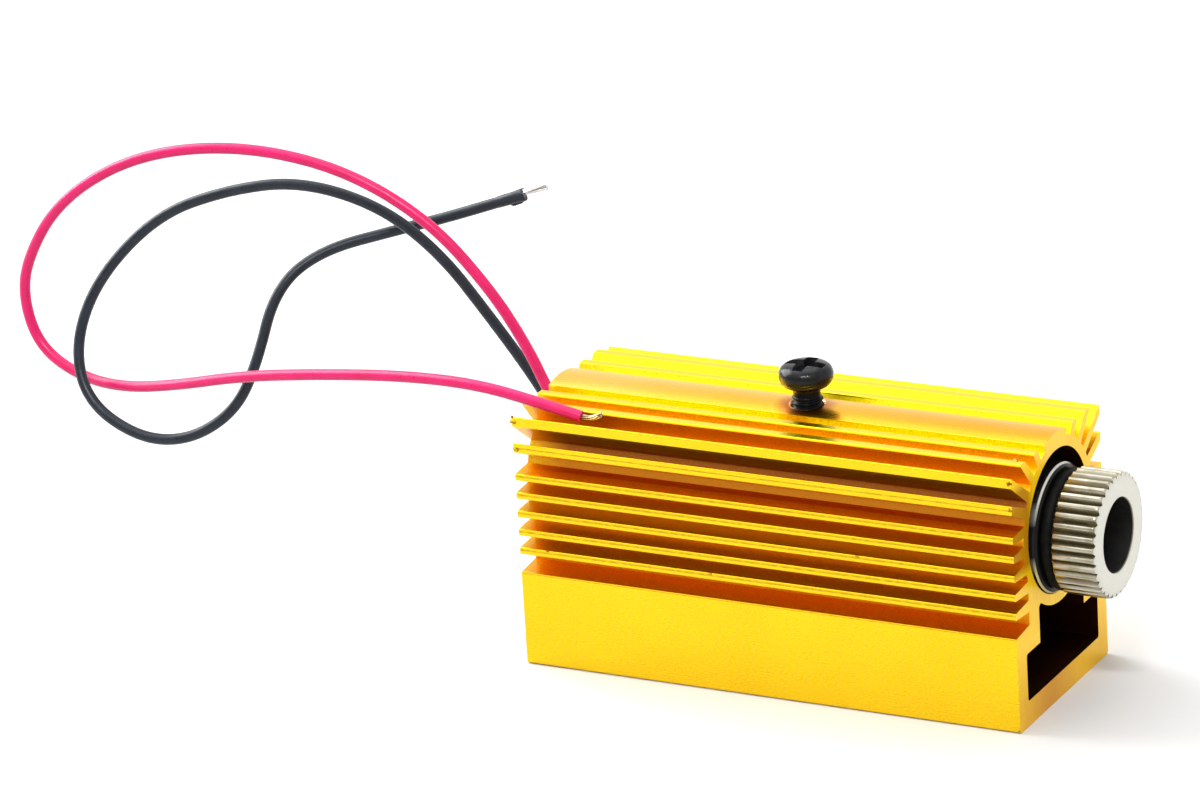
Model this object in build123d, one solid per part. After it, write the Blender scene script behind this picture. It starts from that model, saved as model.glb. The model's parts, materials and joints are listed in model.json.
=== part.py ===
from build123d import *
from math import cos, radians, sin, sqrt, tan
import os

# All sizes are in millimetres. X is the beam's axis, Z is up, and the foot stands on z = 0.
# The origin is the middle of the foot's underside.

overrun = 1.0

# Heat sink: one extruded section, the same along its whole length.
sink_length = 50.0
foot_half_width = 10.0
foot_edge_height = 9.2
foot_root_height = 9.5
foot_corner_radius = 0.35
floor_thickness = 2.4
channel_half_width = 8.0
channel_shoulder_height = 6.95
channel_corner_radius = 0.3
throat_half_width = 4.95
throat_corner_radius = 0.4
web_half_width = 7.1
bore_play = 0.75
bore_wall = 1.0
bore_height = 16.95
land_half_width = 2.45
land_rise = 0.65

# Cooling fins, mirrored on both sides.
fin_pitch = 1.82
fin_count = 5
lowest_fin_height = 11.3
fin_tip_thickness = 0.65
fin_root_thickness = 1.1
radial_fin_angles = (24.5, 35.6, 47.9, 61.5)
radial_fin_reach = 14.0
radial_fin_tip_thickness = 0.75
radial_fin_root_thickness = 1.0
fin_top_drop = 0.35
fin_edge_radius = 0.13

# Clamp screw: a pan head screw in a tapped hole through the land, its point on the barrel.
screw_place = 0.4
screw_radius = 1.5
screw_length = 5.0
screw_relief_depth = 0.25
screw_relief_length = 0.45
screw_point_chamfer = 0.3
screw_hole_clearance = 0.05
screw_hole_chamfer = 0.2
head_radius = 2.55
head_height = 2.0
head_belt_height = 0.85
head_seat_inset = 0.6
head_crown_inset = 1.05
head_crown_drop = 0.12
recess_span = 3.3
recess_blade = 1.0
recess_depth = 1.3
recess_taper = 14.0

# Module barrel: a turned tube that lies on the bottom of the bore.
barrel_radius = 6.0
barrel_length = 30.0
barrel_stand_out = 0.35
barrel_rest_gap = 0.02
barrel_chamfer = 0.35
thread_wall = 1.5
thread_depth = 11.95
thread_lead_in = 0.3
cavity_wall = 1.0

# Focus ring: the knurled knob and its threaded neck, turned in one piece.
ring_gap = 1.25
knob_step = 0.2
knob_length = 4.27
knob_front_round = 0.5
knob_rear_chamfer = 0.4
flute_count = 36
flute_depth = 0.38
flute_width = 0.62
neck_length = 8.0
neck_clearance = 0.05
neck_chamfer = 0.3
aperture_rim = 2.37
aperture_depth = 3.27
lip_width = 0.75
lip_thickness = 0.8
neck_wall = 1.1

# Rubber ring on the neck.
o_ring_section = 1.15
o_ring_clearance = 0.01

# Lens and the ring that holds it.
lens_clearance = 0.04
lens_edge_thickness = 1.3
lens_front_crown = 0.6
lens_rear_crown = 0.3
retainer_thickness = 1.6
retainer_width = 0.81
retainer_slot_width = 0.8
retainer_slot_depth = 0.6

# Spring between the diode's seat and the neck.
spring_wire_radius = 0.22
spring_clearance = 0.38
spring_turns = 4
spring_end_gap = 0.02

# Laser diode in its can, seated from behind against a shoulder of the barrel.
seat_wall = 1.2
base_radius = 2.8
base_thickness = 1.2
base_clearance = 0.03
can_flange_radius = 2.1
can_flange_thickness = 0.2
can_radius = 1.775
can_height = 2.3
can_wall = 0.2
can_clearance = 0.15
can_window_radius = 0.8
window_radius = 1.3
window_thickness = 0.25
heat_block_width = 1.0
heat_block_length = 1.2
heat_block_height = 1.1
chip_width = 0.3
chip_length = 0.6
chip_height = 0.15
lead_radius = 0.225
lead_circle_radius = 1.0
lead_angles = (90.0, 210.0, 330.0)
lead_length = 6.3
lead_stub = 0.9
seal_radius = 0.45
clamp_ring_thickness = 1.8
clamp_ring_bore = 1.6
clamp_ring_clearance = 0.02

# Driver board, between the leads, with its pieces on both faces.
board_length = 11.0
board_gap = 1.8
board_side_gap = 0.4
board_thickness = 0.8
lead_solder_gap = 0.175
bead_radius = 0.7
chip_body_length = 4.9
chip_body_width = 3.9
chip_body_height = 1.45
chip_span = 6.0
chip_pin_width = 0.42
chip_pin_height = 0.2
chip_pin_pitch = 1.27
chip_pins_a_side = 4
chip_from_edge = 4.6
transistor_length = 2.9
transistor_width = 1.3
transistor_height = 1.0
transistor_span = 2.4
transistor_from_edge = 6.5
capacitor_length = 3.2
capacitor_width = 1.6
capacitor_height = 1.5
capacitor_from_edge = 3.9
resistor_length = 1.6
resistor_width = 0.8
resistor_height = 0.45
resistor_count = 3
resistor_pitch = 2.2
resistor_from_edge = 1.6

# Wires. Both start at the board, leave by the rear end of the bore and stand in the air.
wire_diameter = 1.0
strand_diameter = 0.45
bared_length = 1.9
corner_run_share = 0.45
wire_end_gap = 0.3
wire_pad_offset = 1.6
wire_pad_height = 0.48
black_tip_length = 2.2
red_points = [
    (-9.0, -1.3, 17.5), (-14.5, 0.1, 17.2), (-20.0, 1.7, 17.1),
    (-25.4, 3.4, 18.0), (-28.8, 4.7, 20.9), (-31.1, 5.0, 25.4), (-34.5, 4.7, 30.9),
    (-40.2, 4.3, 37.1), (-48.1, 3.7, 41.4), (-56.9, 3.0, 43.1), (-65.7, 2.4, 42.6),
    (-73.3, 1.8, 40.2), (-79.9, 1.4, 35.6), (-83.7, 1.2, 29.5), (-84.25, 1.1, 25.3),
    (-82.7, 0.9, 21.0), (-78.1, 0.2, 18.8), (-72.2, -1.3, 18.8), (-65.0, -3.0, 20.5),
    (-57.1, -4.4, 22.8), (-48.7, -5.6, 24.4), (-38.4, -6.8, 25.9), (-29.7, -8.0, 26.5),
    (-22.7, -8.6, 25.7), (-18.6, -8.3, 24.7),
]
red_tip_points = [(-17.9, -8.3, 24.6), (-16.4, -8.5, 25.2)]
black_points = [
    (-9.0, 2.0, 17.0), (-14.3, 2.9, 17.3), (-19.8, 4.0, 17.1),
    (-25.4, 5.2, 17.3), (-29.6, 6.7, 18.7), (-32.4, 7.5, 22.0), (-36.3, 7.3, 27.2),
    (-40.9, 7.0, 33.0), (-46.9, 6.6, 37.3), (-54.9, 5.6, 39.3), (-62.4, 4.4, 38.0),
    (-69.5, 3.0, 35.2), (-75.4, 0.8, 28.9), (-77.1, -1.6, 22.9), (-75.2, -3.4, 17.8),
    (-69.1, -4.2, 15.0), (-63.7, -3.8, 15.3), (-59.2, -2.4, 18.3), (-57.5, -0.6, 22.6),
    (-56.5, 2.2, 29.4), (-53.2, 5.6, 32.5), (-46.3, 9.0, 34.2), (-40.5, 10.8, 35.8),
    (-34.3, 12.2, 37.9),
]

# Sizes and places that follow from the ones above.
bore_radius = barrel_radius + bore_play
ring_radius = bore_radius + bore_wall
land_radius = ring_radius + land_rise
fin_top_height = bore_height + land_radius - fin_top_drop
screw_relief_radius = screw_radius - screw_relief_depth
head_seat_radius = head_radius - head_seat_inset
head_crown_radius = head_radius - head_crown_inset
thread_radius = barrel_radius - thread_wall
cavity_radius = barrel_radius - cavity_wall
knob_radius = barrel_radius - knob_step
aperture_radius = knob_radius - aperture_rim
barrel_height = bore_height - bore_radius + barrel_radius + barrel_rest_gap
barrel_front = sink_length / 2 + barrel_stand_out
barrel_rear = barrel_front - barrel_length
seat_front = barrel_front - thread_depth
shoulder = seat_front - seat_wall
seat_rear = shoulder - base_thickness
knob_rear = barrel_front + ring_gap
knob_front = knob_rear + knob_length
neck_radius = thread_radius - neck_clearance
pocket_radius = neck_radius - neck_wall
lip_radius = pocket_radius - lip_width
spring_radius = thread_radius - spring_clearance - spring_wire_radius
neck_rear = knob_rear - neck_length
lip_front = knob_front - aperture_depth
lens_front = lip_front - lip_thickness
lens_radius = pocket_radius - lens_clearance
lens_rear = lens_front - lens_edge_thickness
retainer_bore_radius = lens_radius - retainer_width
board_front = seat_rear - clamp_ring_thickness - board_gap
board_rear = board_front - board_length
board_half_width = cavity_radius - board_side_gap
board_top = lead_circle_radius - lead_radius - lead_solder_gap
board_bottom = board_top - board_thickness
lead_rear = seat_rear - lead_length
module_place = Location((0, 0, barrel_height))
wire_start = board_rear - wire_end_gap
wire_start_height = barrel_height + board_top + wire_pad_height
red_route = [(wire_start, -wire_pad_offset, wire_start_height), *red_points]
red_tip_route = [red_points[-1], *red_tip_points]
black_route = [(wire_start, wire_pad_offset, wire_start_height), *black_points]


def turned(*points):
    """A turned piece: its half section, as (x, radius) pairs, spun about the X axis."""
    return revolve(make_face(Polyline(*points, close=True)), Axis.X)


def rod(start, end, radius):
    """A round bar along X from start to end."""
    return Location((start, 0, 0)) * extrude(Plane.YZ * Circle(radius), end - start)


def block(x_range, y_range, z_range):
    """A rectangular block between two corners."""
    size = [high - low for low, high in (x_range, y_range, z_range)]
    middle = [(high + low) / 2 for low, high in (x_range, y_range, z_range)]
    return Location(middle) * Box(*size)


def group(pieces):
    """Several separate solids that share one node."""
    return Compound([solid for piece in pieces for solid in piece.solids()])


def mirrored(outline):
    """A section and its mirror image on the far side."""
    return outline + mirror(outline, Plane.YZ)


def straight_fin(height):
    """One level fin, thicker at its root, from inside the web out to its tip."""
    taper = (fin_root_thickness - fin_tip_thickness) / 2 / (foot_half_width - web_half_width)
    inner_half = fin_tip_thickness / 2 + taper * (foot_half_width - throat_half_width)
    tip_half = fin_tip_thickness / 2
    return Polygon(
        (throat_half_width, height - inner_half), (foot_half_width, height - tip_half),
        (foot_half_width, height + tip_half), (throat_half_width, height + inner_half),
        align=None,
    )


def radial_fin(angle):
    """One fin that points away from the bore's axis, before the envelope trims its tip."""
    blade = Polygon(
        (bore_radius, -radial_fin_root_thickness / 2),
        (radial_fin_reach, -radial_fin_tip_thickness / 2),
        (radial_fin_reach, radial_fin_tip_thickness / 2),
        (bore_radius, radial_fin_root_thickness / 2),
        align=None,
    )
    return Location((0, bore_height)) * Rotation(0, 0, angle) * blade


def fins():
    """The fins of one side, trimmed to the section's envelope, with their edges eased."""
    heights = [lowest_fin_height + level * fin_pitch for level in range(fin_count)]
    level_fins = Sketch() + [straight_fin(height) for height in heights]
    radial_fins = Sketch() + [radial_fin(angle) for angle in radial_fin_angles]
    envelope = Polygon(
        (0, 0), (foot_half_width, 0), (foot_half_width, fin_top_height), (0, fin_top_height),
        align=None,
    )
    blades = (level_fins + radial_fins) & envelope
    tips = [
        corner for corner in blades.vertices()
        if corner.X > foot_half_width - fin_edge_radius
        or corner.Y > fin_top_height - fin_edge_radius
    ]
    return fillet(tips, fin_edge_radius)


def foot():
    """The foot's outer shape, with sloping ledges up to the webs."""
    shape = Polygon(
        (-foot_half_width, 0), (foot_half_width, 0), (foot_half_width, foot_edge_height),
        (web_half_width, foot_root_height), (-web_half_width, foot_root_height),
        (-foot_half_width, foot_edge_height),
        align=None,
    )
    low_corners = [corner for corner in shape.vertices() if corner.Y < foot_corner_radius]
    return fillet(low_corners, foot_corner_radius)


def channel():
    """The open channel: wide at the foot, narrower above, up to the underside of the bore's wall."""
    low_height = channel_shoulder_height - floor_thickness
    low = Location((0, floor_thickness + low_height / 2)) * RectangleRounded(
        2 * channel_half_width, low_height, channel_corner_radius
    )
    throat_low = channel_shoulder_height - low_height / 2
    high = Location((0, (throat_low + bore_height) / 2)) * Rectangle(
        2 * throat_half_width, bore_height - throat_low
    )
    high -= Location((0, bore_height)) * Circle(ring_radius)
    roof_corners = [
        corner for corner in high.vertices()
        if corner.Y > channel_shoulder_height and abs(corner.X) > throat_half_width - overrun / 2
    ]
    return low + fillet(roof_corners, throat_corner_radius)


def sink_section():
    """The extruded section, seen from the front, with Y across and Z up."""
    webs = Location((0, (foot_root_height + bore_height) / 2)) * Rectangle(
        2 * web_half_width, bore_height - foot_root_height
    )
    wall = Location((0, bore_height)) * Circle(ring_radius)
    land = Location((0, bore_height)) * (
        Circle(land_radius)
        & Location((0, land_radius / 2)) * Rectangle(2 * land_half_width, land_radius)
    )
    section = foot() + webs + wall + land + mirrored(fins())
    return section - channel() - Location((0, bore_height)) * Circle(bore_radius)


def heat_sink():
    """The extrusion, cut to length, with the tapped hole for the clamp screw."""
    body = extrude(Plane.YZ * sink_section(), sink_length / 2, both=True)
    hole_radius = screw_radius + screw_hole_clearance
    depth = land_radius + overrun
    hole = Location((screw_place, 0, bore_height + depth / 2)) * Cylinder(hole_radius, depth)
    mouth_height = screw_hole_chamfer + overrun
    mouth = Location(
        (screw_place, 0, bore_height + land_radius - screw_hole_chamfer + mouth_height / 2)
    ) * Cone(hole_radius, hole_radius + mouth_height, mouth_height)
    return body - hole - mouth


def cross_recess():
    """The tapered cross in the screw's head, as a cutter whose top is at z = 0."""
    blades = Rectangle(recess_span, recess_blade) + Rectangle(recess_blade, recess_span)
    return extrude(blades, -recess_depth, taper=recess_taper)


def clamp_screw():
    """The pan head screw, standing with its point at z = 0 until it is placed."""
    head_top = screw_length + head_height
    outline = [
        Line((0, 0), (screw_radius - screw_point_chamfer, 0)),
        Line((screw_radius - screw_point_chamfer, 0), (screw_radius, screw_point_chamfer)),
        Line((screw_radius, screw_point_chamfer), (screw_radius, screw_length - screw_relief_length)),
        Line(
            (screw_radius, screw_length - screw_relief_length),
            (screw_relief_radius, screw_length - screw_relief_length),
        ),
        Line(
            (screw_relief_radius, screw_length - screw_relief_length),
            (screw_relief_radius, screw_length),
        ),
        Line((screw_relief_radius, screw_length), (head_seat_radius, screw_length)),
        ThreePointArc(
            (head_seat_radius, screw_length), (head_radius, screw_length + head_belt_height),
            (head_crown_radius, head_top - head_crown_drop),
        ),
        ThreePointArc(
            (head_crown_radius, head_top - head_crown_drop),
            (head_crown_radius / 2, head_top - head_crown_drop / 4), (0, head_top),
        ),
        Line((0, head_top), (0, 0)),
    ]
    blank = revolve(Plane.XZ * make_face(outline), Axis.Z)
    blank -= Location((0, 0, head_top)) * cross_recess()
    return Location((screw_place, 0, barrel_height + barrel_radius)) * blank


def module_barrel():
    """The barrel: a thread in front, a cavity behind, and the diode's seat between them."""
    can_hole = can_flange_radius + can_clearance
    base_hole = base_radius + base_clearance
    return module_place * turned(
        (barrel_rear, cavity_radius), (barrel_rear, barrel_radius - barrel_chamfer),
        (barrel_rear + barrel_chamfer, barrel_radius), (barrel_front - barrel_chamfer, barrel_radius),
        (barrel_front, barrel_radius - barrel_chamfer), (barrel_front, thread_radius + thread_lead_in),
        (barrel_front - thread_lead_in, thread_radius), (seat_front, thread_radius),
        (seat_front, can_hole), (shoulder, can_hole), (shoulder, base_hole),
        (seat_rear, base_hole), (seat_rear, cavity_radius),
    )


def flutes():
    """The knurl's straight V cuts, as one cutter along the whole knob."""
    depth = flute_depth + overrun
    half_mouth = flute_width / 2 * depth / flute_depth
    cut = Polygon(
        (knob_radius - flute_depth, 0), (knob_radius + overrun, -half_mouth),
        (knob_radius + overrun, half_mouth), align=None,
    )
    ring = PolarLocations(0, flute_count) * cut
    return Location((knob_rear - overrun / 2, 0, 0)) * extrude(
        Plane.YZ * (Sketch() + ring), knob_length + overrun
    )


def focus_ring():
    """The knurled knob, its aperture, and the neck with the lens pocket."""
    knob = rod(knob_rear, knob_front, knob_radius)
    front_edge = knob.edges().sort_by(Axis.X)[-1]
    rear_edge = knob.edges().sort_by(Axis.X)[0]
    knob = chamfer(fillet(front_edge, knob_front_round).edges().sort_by(Axis.X)[0], knob_rear_chamfer)
    knob -= flutes()
    neck = rod(neck_rear, knob_rear + overrun, neck_radius)
    neck = chamfer(neck.edges().sort_by(Axis.X)[0], neck_chamfer)
    knob += neck
    knob -= rod(lip_front, knob_front + overrun, aperture_radius)
    knob -= rod(lens_front - overrun / 2, lip_front + overrun, lip_radius)
    return module_place * (knob - rod(neck_rear - overrun, lens_front, pocket_radius))


def focus_o_ring():
    """The rubber ring on the neck, against the back of the knob."""
    section_radius = o_ring_section / 2
    middle_radius = neck_radius + o_ring_clearance + section_radius
    place = Plane((knob_rear - section_radius, 0, 0), z_dir=(1, 0, 0))
    return module_place * (place.location * Torus(middle_radius, section_radius))


def lens():
    """The collimating lens, more curved in front than behind."""
    outline = [
        Line((lens_rear - lens_rear_crown, 0), (lens_front + lens_front_crown, 0)),
        ThreePointArc(
            (lens_front + lens_front_crown, 0),
            (lens_front + crown_at_half(lens_front_crown, lip_radius), lip_radius / 2),
            (lens_front, lip_radius),
        ),
        Line((lens_front, lip_radius), (lens_front, lens_radius)),
        Line((lens_front, lens_radius), (lens_rear, lens_radius)),
        Line((lens_rear, lens_radius), (lens_rear, retainer_bore_radius)),
        ThreePointArc(
            (lens_rear, retainer_bore_radius),
            (lens_rear - crown_at_half(lens_rear_crown, retainer_bore_radius), retainer_bore_radius / 2),
            (lens_rear - lens_rear_crown, 0),
        ),
    ]
    return module_place * revolve(make_face(outline), Axis.X)


def crown_at_half(crown, radius):
    """The height of a lens face at half its radius, on a ball that rises by crown in the middle."""
    ball = (radius ** 2 + crown ** 2) / (2 * crown)
    return sqrt(ball ** 2 - (radius / 2) ** 2) - (ball - crown)


def lens_retainer():
    """The ring behind the lens, with two slots for a spanner."""
    rear = lens_rear - retainer_thickness
    ring = rod(rear, lens_rear, lens_radius) - rod(rear - overrun, lens_rear + overrun, retainer_bore_radius)
    slot = block(
        (rear - overrun, rear + retainer_slot_depth),
        (-retainer_slot_width / 2, retainer_slot_width / 2),
        (-lens_radius - overrun, lens_radius + overrun),
    )
    return module_place * (ring - slot)


def focus_spring():
    """The spring that takes the play out of the focus thread."""
    start = seat_front + spring_end_gap + spring_wire_radius
    end = neck_rear - spring_end_gap - spring_wire_radius
    coil = Helix((end - start) / spring_turns, end - start, spring_radius)
    wire = sweep(Plane(coil @ 0, z_dir=coil % 0) * Circle(spring_wire_radius), coil, is_frenet=True)
    return module_place * Location((start, 0, 0)) * (Rotation(0, 90, 0) * wire)


def lead_places():
    """Where the diode's leads stand, as (y, z) pairs about the module's axis."""
    return [
        (lead_circle_radius * cos(radians(angle)), lead_circle_radius * sin(radians(angle)))
        for angle in lead_angles
    ]


def diode_base():
    """The diode's steel disc with the block that carries the chip. Two leads pass through it."""
    disc = rod(seat_rear, shoulder, base_radius)
    top = -chip_height
    disc += block(
        (shoulder - base_thickness / 2, shoulder + heat_block_length),
        (-heat_block_width / 2, heat_block_width / 2),
        (top - heat_block_height, top),
    )
    for y, z in lead_places()[1:]:
        disc -= Location((0, y, z)) * rod(seat_rear - overrun, shoulder + overrun, seal_radius)
    return module_place * disc


def diode_seals():
    """The glass beads round the two leads that pass through the base."""
    beads = [
        Location((0, y, z)) * (rod(seat_rear, shoulder, seal_radius)
                               - rod(seat_rear - overrun, shoulder + overrun, lead_radius))
        for y, z in lead_places()[1:]
    ]
    return module_place * group(beads)


def diode_leads():
    """Three leads: one welded to the back of the base, and two that pass through it."""
    ends = [seat_rear, shoulder + lead_stub, shoulder + lead_stub]
    pins = [
        Location((0, y, z)) * rod(lead_rear, end, lead_radius)
        for (y, z), end in zip(lead_places(), ends)
    ]
    return module_place * group(pins)


def diode_chip():
    """The chip on its carrier, on top of the heat block, with its light on the axis."""
    front = shoulder + heat_block_length
    return module_place * block(
        (front - chip_length, front), (-chip_width / 2, chip_width / 2), (-chip_height, 0)
    )


def diode_cap():
    """The welded can over the chip, with a round window hole in front."""
    front = shoulder + can_height
    return module_place * turned(
        (shoulder, can_radius - can_wall), (shoulder, can_flange_radius),
        (shoulder + can_flange_thickness, can_flange_radius),
        (shoulder + can_flange_thickness, can_radius), (front, can_radius),
        (front, can_window_radius), (front - can_wall, can_window_radius),
        (front - can_wall, can_radius - can_wall),
    )


def diode_window():
    """The glass disc behind the can's window hole."""
    front = shoulder + can_height - can_wall
    return module_place * rod(front - window_thickness, front, window_radius)


def diode_clamp_ring():
    """The ring pressed in behind the diode, which holds its base against the shoulder."""
    rear = seat_rear - clamp_ring_thickness
    ring = rod(rear, seat_rear, cavity_radius - clamp_ring_clearance)
    return module_place * (ring - rod(rear - overrun, seat_rear + overrun, clamp_ring_bore))


def driver_board():
    """The bare board that stands between the upper lead and the two lower ones."""
    return module_place * block(
        (board_rear, board_front), (-board_half_width, board_half_width), (board_bottom, board_top)
    )


def driver_chip():
    """The control chip on top of the board, with four gull wing pins on each side."""
    middle = board_rear + chip_from_edge
    body = block(
        (middle - chip_body_length / 2, middle + chip_body_length / 2),
        (-chip_body_width / 2, chip_body_width / 2),
        (board_top, board_top + chip_body_height),
    )
    for number in range(chip_pins_a_side):
        x = middle + (number - (chip_pins_a_side - 1) / 2) * chip_pin_pitch
        body += block(
            (x - chip_pin_width / 2, x + chip_pin_width / 2),
            (-chip_span / 2, chip_span / 2),
            (board_top, board_top + chip_pin_height),
        )
    return module_place * body


def drive_transistor():
    """The transistor under the board that carries the diode's current."""
    middle = board_rear + transistor_from_edge
    body = block(
        (middle - transistor_length / 2, middle + transistor_length / 2),
        (-transistor_width / 2, transistor_width / 2),
        (board_bottom - transistor_height, board_bottom),
    )
    pin = block(
        (middle - chip_pin_width / 2, middle + chip_pin_width / 2),
        (-transistor_span / 2, transistor_span / 2),
        (board_bottom - chip_pin_height, board_bottom),
    )
    return module_place * (body + pin)


def filter_capacitor():
    """The capacitor under the board, next to the wires."""
    middle = board_rear + capacitor_from_edge
    return module_place * block(
        (middle - capacitor_width / 2, middle + capacitor_width / 2),
        (-capacitor_length / 2, capacitor_length / 2),
        (board_bottom - capacitor_height, board_bottom),
    )


def chip_resistors():
    """A row of small resistors under the board's rear edge."""
    row = []
    middle = board_rear + resistor_from_edge
    for number in range(resistor_count):
        y = (number - (resistor_count - 1) / 2) * resistor_pitch
        row.append(block(
            (middle - resistor_width / 2, middle + resistor_width / 2),
            (y - resistor_length / 2, y + resistor_length / 2),
            (board_bottom - resistor_height, board_bottom),
        ))
    return module_place * group(row)


def wire_stub(route):
    """The bared inner end of a wire, lying over its pad on the board."""
    x, y, z = route[0]
    return Location((0, y, z)) * rod(x, x + bared_length, strand_diameter / 2)


def wire_board_ends():
    """The bared ends of both wires, inside their solder beads."""
    return group([wire_stub(red_route), wire_stub(black_route)])


def solder_bead(x, y, side):
    """Half a ball of solder on the board, on top for side 1 and underneath for side -1."""
    face = board_top if side > 0 else board_bottom
    cut = (0, bead_radius + overrun) if side > 0 else (-bead_radius - overrun, 0)
    half = block((-bead_radius, bead_radius), (-bead_radius, bead_radius), cut)
    return module_place * Location((x, y, face)) * (Sphere(bead_radius) & half)


def board_solder():
    """Five beads of solder: one for each lead and one for each wire."""
    lead_x = (lead_rear + board_front) / 2
    beads = []
    for y, z in lead_places():
        pin = module_place * Location((0, y, z)) * rod(lead_rear, seat_rear, lead_radius)
        beads.append(solder_bead(lead_x, y, 1 if z > board_top else -1) - pin)
    for route in (red_route, black_route):
        x, y, _ = route[0]
        beads.append(solder_bead(x + bared_length - bead_radius, y, 1) - wire_stub(route))
    return group(beads)


def corner_radii(route):
    """The arc at each corner of a route, as large as its two runs allow."""
    places = [Vector(*point) for point in route]
    runs = [after - before for before, after in zip(places, places[1:])]
    return [
        corner_run_share * min(first.length, second.length) / tan(radians(first.get_angle(second)) / 2)
        for first, second in zip(runs, runs[1:])
    ]


def wire_tube(route, diameter):
    """A round wire along a route of straight runs joined by arcs."""
    path = FilletPolyline(*route, radius=corner_radii(route))
    return sweep(Plane(path @ 0, z_dir=path % 0) * Circle(diameter / 2), path)


def black_wire_tip():
    """The bared end of the black wire, straight on from its last run."""
    end = Vector(*black_route[-1])
    direction = end - Vector(*black_route[-2])
    return extrude(Plane(end, z_dir=direction) * Circle(strand_diameter / 2), black_tip_length)


pieces = {
    "heat_sink": heat_sink,
    "clamp_screw": clamp_screw,
    "module_barrel": module_barrel,
    "focus_ring": focus_ring,
    "focus_o_ring": focus_o_ring,
    "lens": lens,
    "lens_retainer": lens_retainer,
    "focus_spring": focus_spring,
    "diode_base": diode_base,
    "diode_seals": diode_seals,
    "diode_leads": diode_leads,
    "diode_chip": diode_chip,
    "diode_cap": diode_cap,
    "diode_window": diode_window,
    "diode_clamp_ring": diode_clamp_ring,
    "driver_board": driver_board,
    "driver_chip": driver_chip,
    "drive_transistor": drive_transistor,
    "filter_capacitor": filter_capacitor,
    "chip_resistors": chip_resistors,
    "board_solder": board_solder,
    "wire_board_ends": wire_board_ends,
    "red_wire": lambda: wire_tube(red_route, wire_diameter),
    "red_wire_tip": lambda: wire_tube(red_tip_route, strand_diameter),
    "black_wire": lambda: wire_tube(black_route, wire_diameter),
    "black_wire_tip": black_wire_tip,
}

os.makedirs("parts", exist_ok=True)
for name, make in pieces.items():
    export_step(make(), f"parts/{name}.step")

for name, route in (("red", red_route), ("black", black_route)):
    print(name, "wire's corner radii:", [round(radius, 1) for radius in corner_radii(route)])
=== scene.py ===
import json
import random
from math import copysign, cos, hypot, pi, radians, sin, sqrt, tan, tau

import bmesh
import bpy
from mathutils import Matrix, Vector


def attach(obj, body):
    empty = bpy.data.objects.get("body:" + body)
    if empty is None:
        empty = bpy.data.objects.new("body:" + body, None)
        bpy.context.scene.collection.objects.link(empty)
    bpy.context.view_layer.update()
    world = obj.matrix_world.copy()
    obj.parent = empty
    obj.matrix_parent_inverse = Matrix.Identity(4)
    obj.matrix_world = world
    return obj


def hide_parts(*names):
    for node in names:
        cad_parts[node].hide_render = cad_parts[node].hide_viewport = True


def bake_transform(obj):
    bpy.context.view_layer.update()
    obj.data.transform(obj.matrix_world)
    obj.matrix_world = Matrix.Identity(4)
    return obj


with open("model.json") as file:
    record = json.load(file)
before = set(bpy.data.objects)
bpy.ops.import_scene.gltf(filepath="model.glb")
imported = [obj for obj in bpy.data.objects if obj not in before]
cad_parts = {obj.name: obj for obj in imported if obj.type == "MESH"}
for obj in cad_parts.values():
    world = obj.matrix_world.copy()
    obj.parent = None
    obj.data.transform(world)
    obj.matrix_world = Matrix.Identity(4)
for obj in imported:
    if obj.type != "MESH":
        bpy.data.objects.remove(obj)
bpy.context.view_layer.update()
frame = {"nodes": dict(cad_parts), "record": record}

# Sizes are in millimetres here, as in the CAD source, and become metres where a piece is made.
MM = 0.001
METRE = 1000.0
AXIS_HEIGHT = 16.22
BORE_HEIGHT = 16.95
BORE_RADIUS = 6.75
SINK_HALF_LENGTH = 25.0
FOOT_HALF_WIDTH = 10.0
FOOT_TOP = 9.2
LAND_EDGE = 2.4
FIN_TOP = 24.85
FIN_PITCH = 1.82
LOWEST_FIN = 11.3
SCREW_X = 0.4


def place(x, y, z):
    """A point given in millimetres, in metres."""
    return Vector((x * MM, y * MM, z * MM))


def linked(data):
    """A new object in the scene, named like its data."""
    piece = bpy.data.objects.new(data.name, data)
    bpy.context.scene.collection.objects.link(piece)
    return piece


# Camera: the photograph's own viewpoint, from its perspective.
VIEW_AZIMUTH = radians(28.329)
VIEW_ELEVATION = radians(20.315)
VIEW_ROLL = radians(-3.553)
VIEW_DISTANCE = 627.788
VIEW_TARGET = (-21.044, 0.0, 23.071)
FOCAL_PIXELS = 6768.687
FRAME_WIDTH = 1200.0
SENSOR_WIDTH = 36.0
NEAREST = 0.01
FARTHEST = 20.0


def make_camera():
    """The camera at the photograph's angle, distance and lens."""
    back = Vector((
        sin(VIEW_AZIMUTH) * cos(VIEW_ELEVATION),
        -cos(VIEW_AZIMUTH) * cos(VIEW_ELEVATION),
        sin(VIEW_ELEVATION),
    ))
    level = Vector((cos(VIEW_AZIMUTH), sin(VIEW_AZIMUTH), 0.0))
    upright = back.cross(level)
    right = cos(VIEW_ROLL) * level + sin(VIEW_ROLL) * upright
    up = -sin(VIEW_ROLL) * level + cos(VIEW_ROLL) * upright
    camera_data = bpy.data.cameras.new("photo_camera")
    camera_data.sensor_width = SENSOR_WIDTH
    camera_data.lens = FOCAL_PIXELS / FRAME_WIDTH * SENSOR_WIDTH
    camera_data.clip_start = NEAREST
    camera_data.clip_end = FARTHEST
    camera = linked(camera_data)
    turn = Matrix((right, up, back)).transposed().to_4x4()
    camera.matrix_world = Matrix.Translation(place(*VIEW_TARGET) + back * VIEW_DISTANCE * MM) @ turn
    bpy.context.scene.camera = camera


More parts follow.
